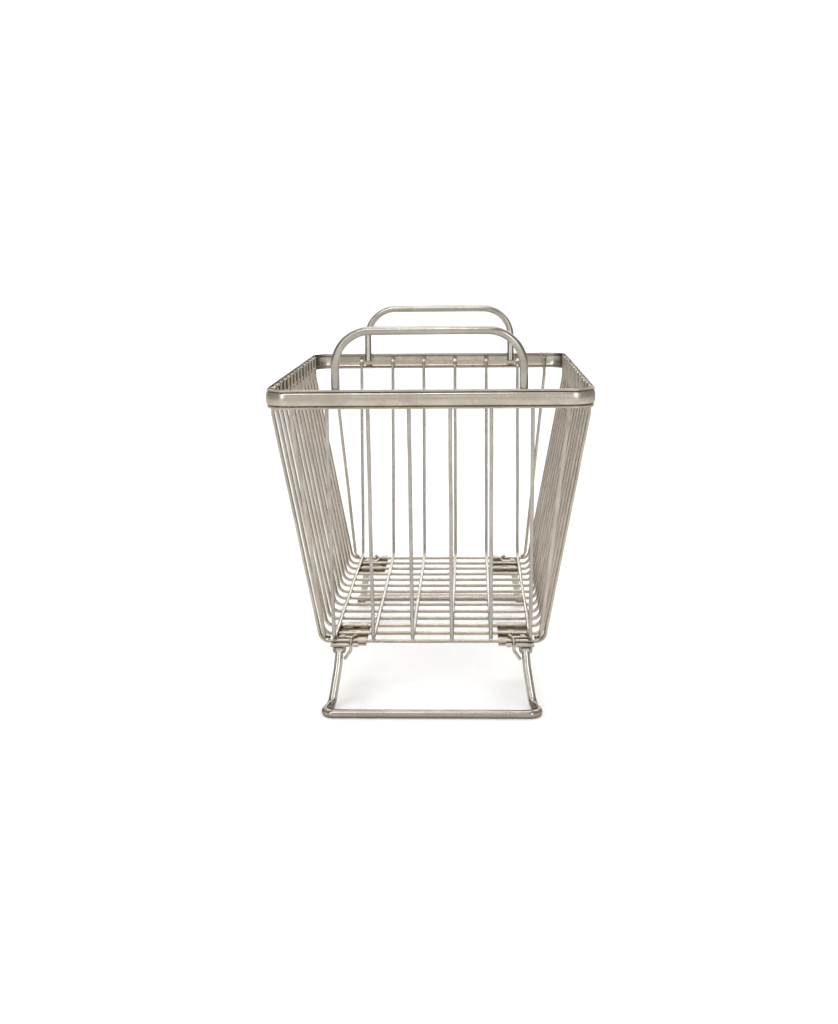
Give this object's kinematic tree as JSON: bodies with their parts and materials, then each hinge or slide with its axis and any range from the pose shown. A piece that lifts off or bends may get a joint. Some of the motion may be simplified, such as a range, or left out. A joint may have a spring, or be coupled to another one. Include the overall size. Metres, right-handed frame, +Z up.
{
  "type": "wire shopping basket",
  "caption": "Tapered wire shopping basket with a beaded rim band, an upright handle on each end wall and a fold-away leg frame under each end of the floor.",
  "frame": {"origin": "on the ground under the middle of the basket: the centre of the bounding box's bottom face, legs down", "axes": "+X across the short width, to the right as seen from the front end, +Y along the length towards the rear end, +Z up"},
  "size_m": [0.304, 0.4494, 0.366],
  "materials": {
    "rim_band_steel": "satin nickel-plated band, faint drawing lines along its length",
    "wire_steel": "satin nickel-plated drawn wire",
    "handle_steel": "satin nickel-plated rod, a little polished by hands",
    "leg_steel": "satin nickel-plated rod, scuffed where it meets the ground",
    "bracket_steel": "pressed plated sheet, duller than the wires",
    "rivet_steel": "plain steel rivet",
    "spring_steel": "drawn spring wire"
  },
  "bodies": {
    "basket": {"corner_wire_front_left": "wire_steel", "corner_wire_front_right": "wire_steel", "corner_wire_rear_left": "wire_steel", "corner_wire_rear_right": "wire_steel", "cross_wire_01": "wire_steel", "cross_wire_02": "wire_steel", "cross_wire_03": "wire_steel", "cross_wire_04": "wire_steel", "cross_wire_05": "wire_steel", "cross_wire_06": "wire_steel", "cross_wire_07": "wire_steel", "cross_wire_08": "wire_steel", "cross_wire_09": "wire_steel", "cross_wire_10": "wire_steel", "cross_wire_11": "wire_steel", "cross_wire_12": "wire_steel", "cross_wire_13": "wire_steel", "cross_wire_14": "wire_steel", "handle_front": "handle_steel", "handle_rear": "handle_steel", "hinge_bracket_front_left": "bracket_steel", "hinge_bracket_front_right": "bracket_steel", "hinge_bracket_rear_left": "bracket_steel", "hinge_bracket_rear_right": "bracket_steel", "hinge_rivet_front_left": "rivet_steel", "hinge_rivet_front_right": "rivet_steel", "hinge_rivet_rear_left": "rivet_steel", "hinge_rivet_rear_right": "rivet_steel", "leg_keeper_front_left": "spring_steel", "leg_keeper_front_right": "spring_steel", "leg_keeper_rear_left": "spring_steel", "leg_keeper_rear_right": "spring_steel", "length_wire_1": "wire_steel", "length_wire_2": "wire_steel", "length_wire_3": "wire_steel", "length_wire_4": "wire_steel", "length_wire_5": "wire_steel", "length_wire_6": "wire_steel", "rim_band": "rim_band_steel"},
    "leg_front": {"leg_frame_front": "leg_steel"},
    "leg_rear": {"leg_frame_rear": "leg_steel"}
  },
  "joints": [
    {"name": "front_leg_fold", "type": "hinge", "parent": "basket", "child": "leg_front", "pos_m": [0, -0.18, 0.0552], "axis": [1, 0, 0], "range_deg": [0, 100]},
    {"name": "rear_leg_fold", "type": "hinge", "parent": "basket", "child": "leg_rear", "pos_m": [0, 0.18, 0.0552], "axis": [-1, 0, 0], "range_deg": [0, 100]}
  ]
}
